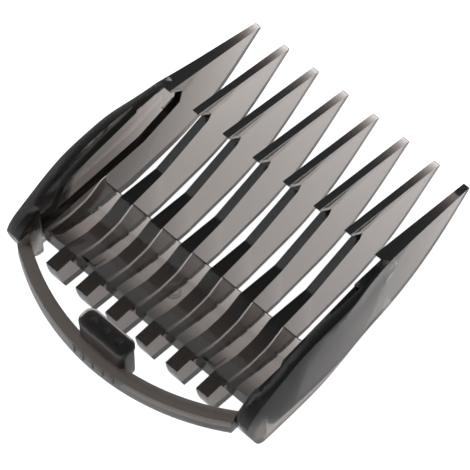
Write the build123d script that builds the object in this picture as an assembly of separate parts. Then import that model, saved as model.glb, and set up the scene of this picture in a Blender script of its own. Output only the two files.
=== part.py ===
from build123d import *
import os

# Clipper guard comb. Millimetres. +X across the comb, +Y towards the tooth tips,
# +Z towards the clipper. Origin: mid-width, at the rear ends of the inner teeth,
# level with the seat flats on top of the teeth.

# overall sizes
tooth_count = 8
tooth_pitch = 5.6
tip_y = 46.7
tip_z = 2.95
tip_height = 0.4

# inner tooth, side profile
bridge_rear_y = 3.6
slope_y = 6.5
slope_z = -1.1
dip_y = 8.0
dip_z = -1.5
dip_end_y = 10.3
lip_y = 11.9
lip_z = -1.25
seat_start_y = 14.4
seat_end_y = 21.0
ledge_y = 30.2
ledge_z = 3.2
notch_y = 30.8
notch_z = 4.2
wedge_rear_y = 28.3
wedge_rear_z = 6.7
sole_rear_y = 1.3
sole_rear_z = -5.4
sole_low_y = 20.5
sole_low_z = -8.1
sole_front_y = 28.3
sole_front_z = -7.4
sole_mid_y = 38.2
sole_mid_z = -4.1

# tooth thicknesses
stub_t = 2.17
mid_t = 2.1
strip_t = 1.37
tip_t = 1.08
wedge_top_t = 1.12
wedge_draft_h = 2.3

# bridge
bridge_front_y = 14.8
bridge_t = 1.2
bridge_edge_t = 0.55
bridge_edge_y = 13.9
bridge_low_y = 8.5
bridge_low_z = -2.75
pad_h = 0.2
gate_r = 1.15
gate_h = 0.15
corner_r = 1.2

# outer teeth, rails and walls
strip_in = 0.7
strip_out = 0.45
outer_tooth_rear_y = 4.4
outer_rise_y = 23.0
outer_ledge_z = 2.0
flank_reach = 2.9
rail_t = 0.95
rail_rise_z = 4.4
rail_top_z = 6.2
rail_rise_y = 9.2
rail_foot_y = 7.0
rail_end_y = 23.0
wall_rear_y = -0.2
wall_top_z = 6.9
wall_low_z = -7.6
flank_end_y = 28.0
boss_t = 1.0
boss_end_y = 4.0

# spring bow and latch nub
bow_sag = 6.26
bow_t = 1.85
bow_h = 3.0
bow_top_z = 0.25
bow_apex_y = -4.69
bow_gap = 0.05
nub_w = 8.4
nub_d = 2.95
nub_back_y = -5.0
nub_top_z = 4.0
head_w = 8.8
head_d = 3.15
head_h = 0.9
dimple_r = 0.45
dimple_pitch = 2.3
tick_count = 5
tick_pitch = 1.7

half_span = (tooth_count - 1) / 2 * tooth_pitch
strip_in_x = half_span - strip_in
rail_in_x = half_span + strip_out
rail_out_x = rail_in_x + rail_t
bow_reach = rail_out_x - boss_t - bow_gap
bow_inner_r = (bow_reach**2 + bow_sag**2) / (2 * bow_sag)
tooth_x = [(i - (tooth_count - 1) / 2) * tooth_pitch for i in range(tooth_count)]


def half_t(y):
    stations = [(0.0, stub_t), (seat_start_y, mid_t), (seat_end_y, strip_t), (tip_y, tip_t)]
    for (y0, t0), (y1, t1) in zip(stations, stations[1:]):
        if y <= y1:
            return (t0 + (t1 - t0) * (y - y0) / (y1 - y0)) / 2
    return tip_t / 2


def slab(face, x0, x1):
    # extrude a side-view (Y, Z) face from x0 to x1
    return Pos(x0, 0, 0) * extrude(Plane.YZ * face, amount=x1 - x0)


def sole_front():
    mid = (sole_mid_y, sole_mid_z)
    end = (tip_y, tip_z - tip_height)
    return Spline([(sole_front_y, sole_front_z), mid, end], tangents=[(1.0, 0.1), (0.77, 0.64)])


def wedge_top():
    # hooked notch, then the wedge's sloping top down to the tip
    return [
        (notch_y, notch_z),
        (wedge_rear_y + 0.15, wedge_rear_z - 0.5),
        (wedge_rear_y, wedge_rear_z),
        (tip_y, tip_z),
        (tip_y, tip_z - tip_height),
    ]


def bridge_top():
    # top line of the bridge, flush with the inner teeth
    return [
        (bridge_rear_y, 0),
        (slope_y, slope_z),
        (dip_y, dip_z),
        (dip_end_y, dip_z),
        (lip_y, lip_z),
        (seat_start_y, 0),
    ]


def tooth_side():
    top = Polyline((0, 0), *bridge_top(), (seat_end_y, 0), (ledge_y, ledge_z), *wedge_top())
    sole = Polyline((sole_rear_y, sole_rear_z), (sole_low_y, sole_low_z), (sole_front_y, sole_front_z))
    heel = ThreePointArc((0, 0), (sole_rear_y * 0.32, sole_rear_z / 2), (sole_rear_y, sole_rear_z))
    return make_face([top, sole_front(), sole, heel])


def plan_taper():
    ys = [-1.0, seat_start_y, seat_end_y, tip_y + 1.0]
    right = [(half_t(max(y, 0.0)), y) for y in ys]
    left = [(-x, y) for x, y in reversed(right)]
    face = make_face(Polyline(*right, *left, close=True))
    return Pos(0, 0, -20) * extrude(face, amount=40)


def wedge_bevel(side, x_top, x_low):
    # cutter that drafts one upper flank of a tooth wedge
    slope = Vector(0, tip_y - wedge_rear_y, tip_z - wedge_rear_z).normalized()
    start = Vector(0, wedge_rear_y - 1.0, wedge_rear_z)
    plane = Plane(origin=start, x_dir=(side, 0, 0), z_dir=(0, slope.Y * side, slope.Z * side))
    up = 1 if plane.y_dir.Z > 0 else -1
    low = -wedge_draft_h * up
    pts = [(x_top, up), (x_top, 0), (x_low, low), (x_low + 3.0, low), (x_low + 3.0, up)]
    face = plane * make_face(Polyline(*pts, close=True))
    length = (tip_y - wedge_rear_y) + 4.0
    direction = Vector(0, slope.Y, slope.Z)
    return extrude(face, amount=length, dir=direction)


def tooth_blank():
    blank = slab(tooth_side(), -3.0, 3.0) & plan_taper()
    half_low = half_t(wedge_rear_y)
    blank = blank - wedge_bevel(1, wedge_top_t / 2, half_low + 0.02)
    return blank - wedge_bevel(-1, wedge_top_t / 2, half_low + 0.02)


def inner_tooth(x):
    return Pos(x, 0, 0) * tooth_blank()


def flank_envelope():
    # outer skin of the right flank: drafted, curving in towards the outer tooth tip
    r = half_span + flank_reach
    k = flank_reach / 2.9
    steps = [-3.0, 10.0, 16.0, 20.2, 24.0, 28.4, 34.0, tip_y + 1.0]
    high_in = [0, 0, 0.02, 0.12, 0.7, 1.25, 1.75]
    low_in = [0.1, 0.3, 0.6, 1.1, 1.5, 1.75, 2.0]
    high = [r - d * k for d in high_in] + [half_span + 0.25]
    low = [r - d * k for d in low_in] + [half_span + 0.2]
    inside = half_span - 4.0

    def layer(xs, z):
        skin = Spline([(x, y) for x, y in zip(xs, steps)])
        rest = Polyline((xs[-1], steps[-1]), (inside, steps[-1]), (inside, steps[0]), (xs[0], steps[0]))
        return Pos(0, 0, z) * make_face([skin, rest])

    return loft([layer(low, -9.0), layer(high, 8.0)], ruled=True)


def heel_points():
    # rear end of the outer tooth and rail, above the sole
    y = outer_tooth_rear_y
    return [(y + 1.2, sole_rear_z - 0.8), (y, sole_rear_z + 0.9), (y, 0)]


def outer_tooth_side():
    y = outer_tooth_rear_y
    top = Polyline((y, 0), (outer_rise_y, 0), (ledge_y, outer_ledge_z), *wedge_top())
    low = Polyline((sole_front_y, sole_front_z), (sole_low_y, sole_low_z), *heel_points())
    return make_face([top, sole_front(), low])


def outer_tooth():
    # thin strip wall at the rear, full-width wedge at the front
    strip = slab(outer_tooth_side(), strip_in_x, rail_in_x)
    strip = strip & Pos(0, -10, 0) * Box(200, 2 * (flank_end_y + 10), 60)
    front = slab(outer_tooth_side(), strip_in_x, half_span + flank_reach + 2)
    front = front & Pos(0, flank_end_y + 50, 0) * Box(200, 100, 60)
    return strip + (front & flank_envelope())


def rail_side():
    pts = [
        (rail_foot_y, 0),
        (rail_rise_y, rail_rise_z),
        (rail_end_y, rail_top_z),
        (flank_end_y, rail_top_z),
        (flank_end_y, sole_front_z),
        (sole_low_y, sole_low_z),
    ]
    return make_face(Polyline(*pts, *heel_points(), close=True))


def guide_rail():
    return slab(rail_side(), rail_in_x, rail_out_x) & flank_envelope()


def wall_side():
    crest = Spline(
        [(wall_rear_y, 0.3), (2.7, wall_top_z - 3.9), (8.6, wall_top_z - 1.2), (18.0, wall_top_z)],
        tangents=[(0.3, 1.0), (1.0, 0.0)],
    )
    flat = Polyline((18.0, wall_top_z), (flank_end_y, wedge_rear_z), (flank_end_y, sole_front_z))
    low = Polyline((flank_end_y, sole_front_z), (sole_low_y, sole_low_z), (3.4, wall_low_z))
    rear = Spline([(3.4, wall_low_z), (1.3, -5.0), (wall_rear_y, 0.3)], tangents=[(-1, 0.3), (-0.15, 1)])
    return make_face([crest, flat, low, rear])


def notch_filler():
    # closes the rail's front end and the hooked notch outboard of the strip
    pts = [
        (rail_end_y, rail_top_z - 0.5),
        (rail_end_y, wall_top_z - 0.1),
        (wedge_rear_y, wedge_rear_z),
        (notch_y + 0.1, notch_z),
        (notch_y + 0.1, outer_ledge_z - 0.5),
        (flank_end_y, outer_ledge_z - 0.5),
        (flank_end_y, rail_top_z - 0.5),
    ]
    block = slab(make_face(Polyline(*pts, close=True)), rail_in_x, half_span + flank_reach + 2)
    block = block & flank_envelope()
    return block - outer_tooth() - guide_rail()


def side_wall():
    body = slab(wall_side(), rail_out_x, half_span + flank_reach + 2) & flank_envelope()
    boss = slab(wall_side(), rail_out_x - boss_t, rail_out_x)
    boss = boss & Pos(0, boss_end_y - 25, 0) * Box(200, 50, 60)
    return body + boss + notch_filler()


def bridge_side():
    under = [
        (bridge_front_y, -bridge_edge_t),
        (bridge_edge_y, -bridge_t),
        (lip_y, lip_z - bridge_t),
        (bridge_low_y, bridge_low_z),
        (bridge_rear_y, bridge_low_z),
    ]
    return make_face(Polyline(*bridge_top(), (bridge_front_y, 0), *under, close=True))


def plan_cut(x):
    return Pos(x, 0, 0) * plan_taper()


def bridge_segment(i):
    # spans from tooth i to tooth i + 1, trimmed to the tapered tooth sides
    left = tooth_x[i]
    right = tooth_x[i + 1]
    if i == 0:
        left = -strip_in_x
    if i == tooth_count - 2:
        right = strip_in_x
    seg = slab(bridge_side(), left, right)
    if i > 0:
        seg = seg - plan_cut(tooth_x[i])
    if i < tooth_count - 2:
        seg = seg - plan_cut(tooth_x[i + 1])
    return seg


def corner_web():
    # rounds the inner corner between the bridge's front edge and the right outer tooth
    block = Box(corner_r, corner_r, bridge_edge_t, align=(Align.MAX, Align.MIN, Align.MAX))
    bore = Pos(-corner_r, corner_r, 0) * Cylinder(corner_r, 4 * bridge_edge_t)
    return Pos(strip_in_x, bridge_front_y, 0) * (block - bore)


def bridge_pad(i):
    # low raised pad on one bridge segment, on the slope behind the dip
    left = tooth_x[i] + stub_t / 2 + 0.5
    right = tooth_x[i + 1] - stub_t / 2 - 0.5
    drop = slope_z / (slope_y - bridge_rear_y)
    y0 = bridge_rear_y + 0.6
    y1 = slope_y - 0.1
    z0 = (y0 - bridge_rear_y) * drop
    z1 = (y1 - bridge_rear_y) * drop
    pts = [(y0, z0), (y1, z1), (y1, z1 + pad_h), (y0, z0 + pad_h)]
    return slab(make_face(Polyline(*pts, close=True)), left, right)


def gate_mark():
    mid = (tooth_x[3] + tooth_x[4]) / 2
    y = (dip_y + dip_end_y) / 2
    ring = Circle(gate_r) - Circle(gate_r * 0.55)
    return Pos(mid, y, dip_z) * extrude(ring, amount=gate_h)


def bow_plan():
    cy = bow_apex_y + bow_inner_r
    ring = Pos(0, cy) * (Circle(bow_inner_r + bow_t) - Circle(bow_inner_r))
    window = Pos(0, cy - bow_inner_r - 5) * Rectangle(2 * bow_reach, 2 * bow_inner_r)
    return ring & window


def spring_bow():
    low = bow_top_z - bow_h
    bow = Pos(0, 0, low) * extrude(bow_plan(), amount=bow_h)
    cy = bow_apex_y + bow_inner_r
    for k in range(tick_count):
        a = (k - (tick_count - 1) / 2) * tick_pitch / bow_inner_r * 57.2958
        tick = Pos(0, -(bow_inner_r + bow_t), low + bow_h * 0.45) * Box(0.5, 0.3, 1.1)
        bow = bow + Pos(0, cy, 0) * Rot(0, 0, a) * tick
    return bow


def latch_nub():
    low = bow_top_z - bow_h
    mid_y = nub_back_y + nub_d / 2
    stem_h = nub_top_z - head_h - low
    stem = Pos(0, mid_y, low) * extrude(RectangleRounded(nub_w, nub_d, nub_d * 0.33), amount=stem_h)
    head_y = nub_back_y - 0.05 + head_d / 2
    head = Pos(0, head_y, nub_top_z - head_h) * extrude(RectangleRounded(head_w, head_d, head_d * 0.4), amount=head_h)
    nub = stem + head
    for k in (-1, 0, 1):
        nub = nub - Pos(k * dimple_pitch, head_y, nub_top_z) * Sphere(dimple_r)
    return nub - Pos(0, 0, low) * extrude(bow_plan(), amount=bow_h)


def mirrored(shape):
    return mirror(shape, about=Plane.YZ)


def save(shape, name):
    export_step(shape, "parts/" + name + ".step")


os.makedirs("parts", exist_ok=True)

for i in range(1, tooth_count - 1):
    save(inner_tooth(tooth_x[i]), "tooth_" + str(i + 1))

last = outer_tooth()
save(last, "tooth_" + str(tooth_count))
save(mirrored(last), "tooth_1")

rail = guide_rail()
save(rail, "guide_rail_right")
save(mirrored(rail), "guide_rail_left")

wall = side_wall()
save(wall, "side_wall_right")
save(mirrored(wall), "side_wall_left")

for i in range(tooth_count - 1):
    segment = bridge_segment(i)
    if i in (1, tooth_count - 3):
        segment = segment + bridge_pad(i)
    if i == 0:
        segment = segment + mirrored(corner_web())
    if i == tooth_count - 2:
        segment = segment + corner_web()
    save(segment, "bridge_" + str(i + 1))

save(gate_mark(), "gate_mark")
save(spring_bow(), "spring_bow")
save(latch_nub(), "latch_nub")
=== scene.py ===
import math

import bpy
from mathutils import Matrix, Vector


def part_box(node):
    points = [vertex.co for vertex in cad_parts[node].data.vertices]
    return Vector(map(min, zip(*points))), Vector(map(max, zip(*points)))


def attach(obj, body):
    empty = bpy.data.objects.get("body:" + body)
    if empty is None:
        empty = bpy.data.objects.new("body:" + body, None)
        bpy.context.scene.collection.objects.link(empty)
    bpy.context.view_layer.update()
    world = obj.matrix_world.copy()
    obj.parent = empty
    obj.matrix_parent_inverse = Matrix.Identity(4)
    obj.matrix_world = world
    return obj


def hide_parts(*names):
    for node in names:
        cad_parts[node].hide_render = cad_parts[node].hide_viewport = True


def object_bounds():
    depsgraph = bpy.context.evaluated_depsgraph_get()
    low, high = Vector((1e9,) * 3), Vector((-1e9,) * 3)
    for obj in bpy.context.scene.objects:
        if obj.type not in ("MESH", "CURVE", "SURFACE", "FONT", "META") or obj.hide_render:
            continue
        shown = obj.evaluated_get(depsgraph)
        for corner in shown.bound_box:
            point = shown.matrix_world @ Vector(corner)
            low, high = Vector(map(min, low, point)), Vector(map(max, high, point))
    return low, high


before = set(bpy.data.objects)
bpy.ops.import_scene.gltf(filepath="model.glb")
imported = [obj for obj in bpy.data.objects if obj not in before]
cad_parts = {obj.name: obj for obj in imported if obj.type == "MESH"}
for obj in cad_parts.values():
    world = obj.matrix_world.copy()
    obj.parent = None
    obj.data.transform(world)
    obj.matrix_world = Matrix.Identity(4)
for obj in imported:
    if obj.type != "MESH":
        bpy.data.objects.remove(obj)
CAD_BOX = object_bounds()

MM = 0.001

# camera: where it looks and from how far
AIM = Vector((0.58 * MM, 20.68 * MM, 0.0))
AZIMUTH = math.radians(43.22)
ELEVATION = math.radians(59.15)
DISTANCE = 430 * MM
LENS = 242.28

# smoky plastic
PLASTIC_IOR = 1.49
SMOKE_DENSITY = 1120.0
SMOKE_COLOR = (0.40, 0.37, 0.35, 1.0)
SURFACE_COLOR = (0.98, 0.93, 0.905, 1)
# bow and latch nub: the same plastic, made denser as painted shade
BOW_SHADE_DENSITY = 1350.0
# fitted for looks: the web is the same plastic as the rest, made denser as painted shade between the
# teeth
WEB_SHADE_DENSITY = 2000.0
POLISH = 0.08
FROST = 0.34
WALL_FROST_X = 21.0

# light
FLOOR_GLOW = 0.95
# painted shade: the share of the floor's glow taken out where the object mirrors the floor
FLOOR_MIRROR_SHADE = 0.55
TENT_SIDES = 0.95
TENT_ROOF = 0.2
SOFT_BOX_PLACE = (-0.35, -0.14, 0.5)
SOFT_BOX_SIZE = 0.4
SOFT_BOX_POWER = 0.45

# flanks and web, in millimetres
WELD_REACH = 0.002
RIM_ROUND = 0.3
FLANK_ROUND = 0.12
WEB_GAP = 0.006

# spring bow and latch nub, in millimetres
BAR_STAND = 0.15
BOW_WIDTH = 1.85
BOW_STEPS = 72
BAR_COUNT = 5
BAR_PITCH = 1.7
BAR_WIDTH = 0.5
BAR_HEIGHT = 1.3
BOW_ROUND = 0.22
STEM_INSET = 0.2
STEM_DEPTH = 2.95
STEM_CORNER = 0.95
HEAD_HEIGHT = 0.9
HEAD_CORNER = 1.2
HEAD_RIM = 0.28
DIMPLE_PITCH = 2.3
DIMPLE_RADIUS = 0.7
DIMPLE_RISE = 0.35
NUB_GAP = 0.008


def make_camera():
    cam = bpy.data.objects.new("camera", bpy.data.cameras.new("camera"))
    bpy.context.scene.collection.objects.link(cam)
    back = Vector((
        math.sin(AZIMUTH) * math.cos(ELEVATION),
        -math.cos(AZIMUTH) * math.cos(ELEVATION),
        math.sin(ELEVATION),
    ))
    cam.location = AIM + back * DISTANCE
    cam.rotation_euler = back.to_track_quat("Z", "Y").to_euler()
    cam.data.lens = LENS
    cam.data.sensor_width = 36
    cam.data.clip_start = 0.01
    bpy.context.scene.camera = cam


def new_material(name):
    material = bpy.data.materials.new(name)
    material.use_nodes = True
    tree = material.node_tree
    shader = tree.nodes["Principled BSDF"]
    return material, tree, shader


def math_node(tree, operation, a, b=None):
    node = tree.nodes.new("ShaderNodeMath")
    node.operation = operation
    for socket, value in zip(node.inputs, (a, b)):
        if value is None:
            continue
        if isinstance(value, (int, float)):
            socket.default_value = value
        else:
            tree.links.new(value, socket)
    return node.outputs[0]


def noise_node(tree, vector, scale, detail=3.0):
    noise = tree.nodes.new("ShaderNodeTexNoise")
    noise.inputs["Scale"].default_value = scale
    noise.inputs["Detail"].default_value = detail
    tree.links.new(vector, noise.inputs["Vector"])
    return noise.outputs["Fac"]


def moulded_surface():
    # group: roughness and normal of a moulded surface, from polished to frosted
    group = bpy.data.node_groups.new("moulded_surface", "ShaderNodeTree")
    side = group.interface
    for name, value in (("Polish", POLISH), ("Frost", FROST), ("Mask", 0.0)):
        side.new_socket(name, in_out="INPUT", socket_type="NodeSocketFloat").default_value = value
    side.new_socket("Roughness", in_out="OUTPUT", socket_type="NodeSocketFloat")
    side.new_socket("Normal", in_out="OUTPUT", socket_type="NodeSocketVector")
    take = group.nodes.new("NodeGroupInput")
    give = group.nodes.new("NodeGroupOutput")
    place = group.nodes.new("ShaderNodeTexCoord").outputs["Object"]
    cloud = noise_node(group, place, 220.0, 4.0)
    grain = noise_node(group, place, 9000.0, 2.0)
    spread = math_node(group, "SUBTRACT", take.outputs["Frost"], take.outputs["Polish"])
    base = math_node(group, "MULTIPLY_ADD", take.outputs["Mask"], spread)
    group.links.new(take.outputs["Polish"], base.node.inputs[2])
    wander = math_node(group, "MULTIPLY_ADD", cloud, 0.06)
    group.links.new(base, wander.node.inputs[2])
    group.links.new(math_node(group, "SUBTRACT", wander, 0.03), give.inputs["Roughness"])
    flow = noise_node(group, place, 140.0, 1.0)
    height = math_node(group, "MULTIPLY", grain, take.outputs["Mask"])
    total = math_node(group, "MULTIPLY_ADD", flow, 3.0)
    group.links.new(height, total.node.inputs[2])
    bump = group.nodes.new("ShaderNodeBump")
    bump.inputs["Strength"].default_value = 0.25
    bump.inputs["Distance"].default_value = 0.01 * MM
    group.links.new(total, bump.inputs["Height"])
    group.links.new(bump.outputs["Normal"], give.inputs["Normal"])
    return group


def wall_mask(tree):
    # 0 on the comb's inner parts, 1 on the outer skin of its walls
    place = tree.nodes.new("ShaderNodeTexCoord")
    split = tree.nodes.new("ShaderNodeSeparateXYZ")
    tree.links.new(place.outputs["Object"], split.inputs[0])
    away = math_node(tree, "ABSOLUTE", split.outputs["X"])
    edge = tree.nodes.new("ShaderNodeMapRange")
    edge.interpolation_type = "SMOOTHSTEP"
    edge.inputs["From Min"].default_value = (WALL_FROST_X - 0.1) * MM
    edge.inputs["From Max"].default_value = (WALL_FROST_X + 0.2) * MM
    tree.links.new(away, edge.inputs["Value"])
    return edge.outputs["Result"]


def clear_plastic(name, density, mask=None, mask_value=0.0):
    material, tree, shader = new_material(name)
    shader.inputs["Base Color"].default_value = SURFACE_COLOR
    shader.inputs["IOR"].default_value = PLASTIC_IOR
    shader.inputs["Transmission Weight"].default_value = 1.0
    surface = tree.nodes.new("ShaderNodeGroup")
    surface.node_tree = SURFACE
    surface.inputs["Polish"].default_value = POLISH
    surface.inputs["Frost"].default_value = FROST
    surface.inputs["Mask"].default_value = mask_value
    if mask:
        tree.links.new(mask(tree), surface.inputs["Mask"])
    tree.links.new(surface.outputs["Roughness"], shader.inputs["Roughness"])
    tree.links.new(surface.outputs["Normal"], shader.inputs["Normal"])
    volume = tree.nodes.new("ShaderNodeVolumeAbsorption")
    volume.inputs["Color"].default_value = SMOKE_COLOR
    volume.inputs["Density"].default_value = density
    tree.links.new(volume.outputs["Volume"], tree.nodes["Material Output"].inputs["Volume"])
    return material


def floor_material():
    # a white table: bright to the eye and through the plastic, darker where the object mirrors it,
    # as painted shade of the floor beside the object
    material, tree, shader = new_material("floor_white")
    shader.inputs["Base Color"].default_value = (0.9, 0.9, 0.9, 1)
    shader.inputs["Roughness"].default_value = 0.9
    shader.inputs["Specular IOR Level"].default_value = 0.0
    shader.inputs["Emission Color"].default_value = (1, 1, 1, 1)
    path = tree.nodes.new("ShaderNodeLightPath")
    glossy = path.outputs["Is Glossy Ray"]
    mirrored = math_node(tree, "SUBTRACT", glossy, path.outputs["Is Transmission Ray"])
    mirrored.node.use_clamp = True
    dim = math_node(tree, "MULTIPLY", mirrored, -FLOOR_GLOW * FLOOR_MIRROR_SHADE)
    tree.links.new(math_node(tree, "ADD", dim, FLOOR_GLOW), shader.inputs["Emission Strength"])
    return material


def deselect():
    bpy.ops.object.select_all(action="DESELECT")


def make_floor():
    low = CAD_BOX[0][2]
    deselect()
    bpy.ops.mesh.primitive_plane_add(size=1.2, location=(0, 0.02, low - 0.05 * MM))
    floor = bpy.context.object
    floor.name = "floor"
    floor.data.materials.append(floor_material())


def area_light(name, place, aim, size, power):
    light = bpy.data.lights.new(name, "AREA")
    light.shape = "RECTANGLE"
    light.size = size
    light.size_y = size
    light.energy = power
    lamp = bpy.data.objects.new(name, light)
    bpy.context.scene.collection.objects.link(lamp)
    lamp.location = place
    lamp.rotation_euler = (Vector(place) - Vector(aim)).to_track_quat("Z", "Y").to_euler()


def make_lights():
    world = bpy.data.worlds.new("studio")
    world.use_nodes = True
    bpy.context.scene.world = world
    tree = world.node_tree
    background = tree.nodes["Background"]
    background.inputs["Color"].default_value = (0.95, 0.97, 1.0, 1)
    # a light tent: bright sides, dim roof
    split = tree.nodes.new("ShaderNodeSeparateXYZ")
    tree.links.new(tree.nodes.new("ShaderNodeTexCoord").outputs["Generated"], split.inputs[0])
    roof = tree.nodes.new("ShaderNodeMapRange")
    roof.inputs["From Min"].default_value = 0.25
    roof.inputs["From Max"].default_value = 0.85
    roof.inputs["To Min"].default_value = TENT_SIDES
    roof.inputs["To Max"].default_value = TENT_ROOF
    tree.links.new(split.outputs["Z"], roof.inputs["Value"])
    tree.links.new(roof.outputs["Result"], background.inputs["Strength"])
    area_light("soft_box", SOFT_BOX_PLACE, (0, 0.02, 0), SOFT_BOX_SIZE, SOFT_BOX_POWER)


def pick(piece):
    deselect()
    piece.select_set(True)
    bpy.context.view_layer.objects.active = piece


def apply_modifier(piece, modifier):
    pick(piece)
    bpy.ops.object.modifier_apply(modifier=modifier.name)


def round_over(piece, width, segments=2, angle=35):
    bevel = piece.modifiers.new("round_edges", "BEVEL")
    bevel.width = width * MM
    bevel.segments = segments
    bevel.limit_method = "ANGLE"
    bevel.angle_limit = math.radians(angle)
    return bevel


def smooth(piece, angle=28):
    pick(piece)
    bpy.ops.object.shade_smooth_by_angle(angle=math.radians(angle))


def merged_copy(node, name):
    # a CAD node's shape as a closed mesh of its own
    piece = node.copy()
    piece.data = node.data.copy()
    piece.name = name
    piece.parent = None
    for key in list(piece.keys()):
        del piece[key]
    bpy.context.scene.collection.objects.link(piece)
    pick(piece)
    bpy.ops.object.mode_set(mode="EDIT")
    bpy.ops.mesh.select_all(action="SELECT")
    bpy.ops.mesh.remove_doubles(threshold=WELD_REACH * MM)
    bpy.ops.object.mode_set(mode="OBJECT")
    return piece


def dissolve_flat(piece, angle=0.3):
    pick(piece)
    bpy.ops.object.mode_set(mode="EDIT")
    bpy.ops.mesh.select_all(action="SELECT")
    bpy.ops.mesh.dissolve_limited(angle_limit=math.radians(angle))
    bpy.ops.object.mode_set(mode="OBJECT")


def combine(piece, other, operation):
    # joins or cuts the piece with the other, which is used up
    solid = piece.modifiers.new("combine", "BOOLEAN")
    solid.operation = operation
    solid.solver = "EXACT"
    solid.object = other
    apply_modifier(piece, solid)
    bpy.data.objects.remove(other)


def round_crest(wall):
    # a soft rim along the wall's top and rear, behind the outer tooth
    inner_x = WALL_FROST_X * MM - 0.02 * MM
    front_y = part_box("side_wall_right")[0].y + 26 * MM

    def on_rim(a, b):
        outboard = min(abs(a.x), abs(b.x)) > inner_x
        return outboard and max(a.y, b.y) < front_y and min(a.z, b.z) > 0.5 * MM

    bevel_edges(wall, on_rim, RIM_ROUND, 3)


def bevel_edges(piece, wanted, width, segments):
    # bevels the wanted ones of the piece's sharp edges
    pick(piece)
    bpy.ops.object.mode_set(mode="EDIT")
    bpy.ops.mesh.select_mode(type="EDGE")
    bpy.ops.mesh.select_all(action="DESELECT")
    bpy.ops.mesh.edges_select_sharp(sharpness=math.radians(35))
    bpy.ops.object.mode_set(mode="OBJECT")
    for edge in piece.data.edges:
        a, b = (piece.data.vertices[i].co for i in edge.vertices)
        edge.select = edge.select and wanted(a, b) and not crosses(a, b)
    bpy.ops.object.mode_set(mode="EDIT")
    bpy.ops.mesh.bevel(offset=width * MM, segments=segments, affect="EDGES", clamp_overlap=True)
    bpy.ops.object.mode_set(mode="OBJECT")


def crosses(a, b):
    # an edge that runs across the wall's thickness
    return abs(a.x - b.x) > 0.5 * (a - b).length


def make_flank(side, tooth):
    # outer tooth, guide rail and side wall as the one smooth moulded flank that they form
    names = ["side_wall_" + side, "guide_rail_" + side, tooth]
    flank = merged_copy(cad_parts[names[0]], "flank_" + side)
    dissolve_flat(flank)
    round_crest(flank)
    for name in names[1:]:
        combine(flank, merged_copy(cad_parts[name], name + "_copy"), "UNION")
    dissolve_flat(flank)
    apply_modifier(flank, round_over(flank, FLANK_ROUND))
    smooth(flank)
    flank.data.materials.clear()
    flank.data.materials.append(PLASTIC)
    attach(flank, "comb")
    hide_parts(*names)
    return flank


def offset(piece, amount):
    # moves the whole skin out, or in if the amount is negative, so that neighbours share no face
    gap = piece.modifiers.new("hair_offset", "DISPLACE")
    gap.strength = amount * MM
    gap.mid_level = 0
    return gap


def finish_node(node):
    weld = node.modifiers.new("weld", "WELD")
    weld.merge_threshold = 0.001 * MM
    flat = node.modifiers.new("flat_faces", "DECIMATE")
    flat.decimate_type = "DISSOLVE"
    flat.angle_limit = math.radians(0.5)
    on_web = node.name.startswith("bridge") or node.name == "gate_mark"
    if on_web:
        offset(node, -WEB_GAP)
    node.data.materials.clear()
    node.data.materials.append(SHADED_WEB if on_web else PLASTIC)


def bow_arc():
    # centre and radius of the bow's inner face, from its CAD box
    low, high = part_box("spring_bow")
    apex_y = low.y + (BAR_STAND + BOW_WIDTH) * MM
    sag = high.y - apex_y
    radius = (high.x ** 2 + sag ** 2) / (2 * sag)
    return Vector((0, apex_y + radius, 0)), radius


def make_bow():
    low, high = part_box("spring_bow")
    centre, radius = bow_arc()
    inner_y = centre.y - radius
    reach = high.x
    half_turn = math.asin(reach / radius) + math.radians(1)
    height = high.z - low.z
    deselect()
    bpy.ops.mesh.primitive_plane_add(size=1, rotation=(0, math.radians(90), 0))
    bow = bpy.context.object
    bow.name = "bow"
    bow.scale = (height, BOW_WIDTH * MM, 1)
    bow.location = (0, inner_y - BOW_WIDTH * MM / 2, (low.z + high.z) / 2)
    bpy.ops.object.transform_apply(location=True, rotation=True, scale=True)
    bpy.ops.object.mode_set(mode="EDIT")
    bpy.ops.mesh.select_all(action="SELECT")
    bpy.ops.transform.rotate(value=half_turn, orient_axis="Z", center_override=centre)
    bpy.ops.mesh.spin(steps=BOW_STEPS, angle=2 * half_turn, center=centre, axis=(0, 0, -1))
    for x, way in ((reach, 1), (-reach, -1)):
        bpy.ops.mesh.select_all(action="SELECT")
        bpy.ops.mesh.bisect(
            plane_co=(x, 0, 0), plane_no=(way, 0, 0), use_fill=True, clear_outer=True, threshold=1e-7
        )
    bpy.ops.mesh.select_all(action="SELECT")
    bpy.ops.mesh.normals_make_consistent(inside=False)
    bpy.ops.object.mode_set(mode="OBJECT")
    return bow


def finish_bow(bow):
    # short moulded bars on the outer face
    low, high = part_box("spring_bow")
    centre, radius = bow_arc()
    outer_r = radius + BOW_WIDTH * MM
    mid_z = (low.z + high.z) / 2
    for k in range(BAR_COUNT):
        angle = (k - (BAR_COUNT - 1) / 2) * BAR_PITCH * MM / radius
        deselect()
        place = (outer_r * math.sin(angle), centre.y - outer_r * math.cos(angle), mid_z)
        bpy.ops.mesh.primitive_cube_add(size=1, location=place, rotation=(0, 0, angle))
        bar = bpy.context.object
        bar.scale = (BAR_WIDTH * MM, 2 * BAR_STAND * MM, BAR_HEIGHT * MM)
        bpy.ops.object.transform_apply(location=True, rotation=True, scale=True)
        combine(bow, bar, "UNION")
    apply_modifier(bow, round_over(bow, BOW_ROUND, 3, 50))
    smooth(bow, 40)
    bow.data.materials.append(FROSTED_SHADED)
    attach(bow, "bow")
    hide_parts("spring_bow")


def block(name, low, high):
    deselect()
    centre = [(a + b) / 2 for a, b in zip(low, high)]
    bpy.ops.mesh.primitive_cube_add(size=1, location=centre)
    piece = bpy.context.object
    piece.name = name
    piece.scale = [b - a for a, b in zip(low, high)]
    bpy.ops.object.transform_apply(location=True, rotation=True, scale=True)
    return piece


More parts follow.
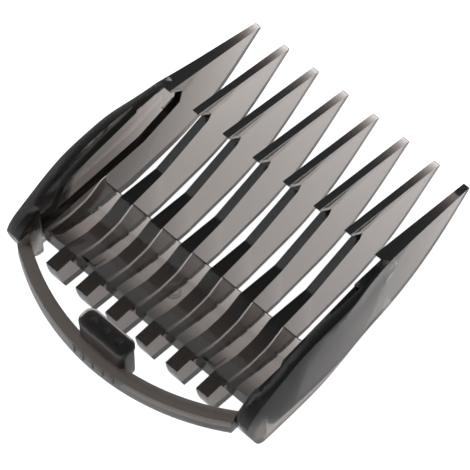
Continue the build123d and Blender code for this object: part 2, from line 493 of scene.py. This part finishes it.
def round_corners(piece, width, segments, upright):
    # rounds the upright edges, or the rim of the top face
    pick(piece)
    bpy.ops.object.mode_set(mode="EDIT")
    bpy.ops.mesh.select_all(action="DESELECT")
    bpy.ops.object.mode_set(mode="OBJECT")
    top = max(v.co.z for v in piece.data.vertices)
    for edge in piece.data.edges:
        a, b = (piece.data.vertices[i].co for i in edge.vertices)
        standing = abs(a.z - b.z) > 0.9 * (a - b).length
        rim = a.z > top - 0.01 * MM and b.z > top - 0.01 * MM
        edge.select = standing if upright else rim
    bpy.ops.object.mode_set(mode="EDIT")
    bpy.ops.mesh.select_mode(type="EDGE")
    bpy.ops.mesh.bevel(offset=width * MM, segments=segments, affect="EDGES")
    bpy.ops.object.mode_set(mode="OBJECT")


def make_nub(bow):
    low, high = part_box("latch_nub")
    inset = STEM_INSET * MM
    stem_back = low.y + 0.05 * MM
    stem_front = stem_back + STEM_DEPTH * MM
    head_low = high.z - HEAD_HEIGHT * MM
    stem_top = head_low + 0.3 * MM
    stem = block("nub", (low.x + inset, stem_back, low.z), (high.x - inset, stem_front, stem_top))
    round_corners(stem, STEM_CORNER, 5, True)
    head = block("nub_head", (low.x, low.y, head_low), high)
    round_corners(head, HEAD_CORNER, 6, True)
    round_corners(head, HEAD_RIM, 3, False)
    combine(stem, head, "UNION")
    head_y = (low.y + high.y) / 2
    for k in (-1, 0, 1):
        deselect()
        place = (k * DIMPLE_PITCH * MM, head_y, high.z + DIMPLE_RISE * MM)
        bpy.ops.mesh.primitive_uv_sphere_add(
            segments=20, ring_count=12, radius=DIMPLE_RADIUS * MM, location=place
        )
        dimple = bpy.context.object
        bpy.ops.object.transform_apply(location=True, rotation=True, scale=True)
        combine(stem, dimple, "DIFFERENCE")
    cutter = bow.copy()
    cutter.data = bow.data.copy()
    bpy.context.scene.collection.objects.link(cutter)
    combine(stem, cutter, "DIFFERENCE")
    smooth(stem, 35)
    apply_modifier(stem, offset(stem, NUB_GAP))
    stem.data.materials.append(FROSTED_SHADED)
    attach(stem, "bow")
    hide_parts("latch_nub")


make_camera()
make_floor()
make_lights()
SURFACE = moulded_surface()
PLASTIC = clear_plastic("smoky_plastic", SMOKE_DENSITY, wall_mask)
# the web's darker copy of the plastic is painted shade
SHADED_WEB = clear_plastic("smoky_plastic_web_shaded", WEB_SHADE_DENSITY)
# frosted surface, and a darker copy of the plastic as painted shade on the bow and nub
FROSTED_SHADED = clear_plastic("frosted_shaded_smoky_plastic", BOW_SHADE_DENSITY, None, 1.0)
for name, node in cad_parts.items():
    finish_node(node)
make_flank("left", "tooth_1")
make_flank("right", "tooth_8")
BOW = make_bow()
make_nub(BOW)
finish_bow(BOW)

scene = bpy.context.scene
scene.view_settings.view_transform = "Standard"
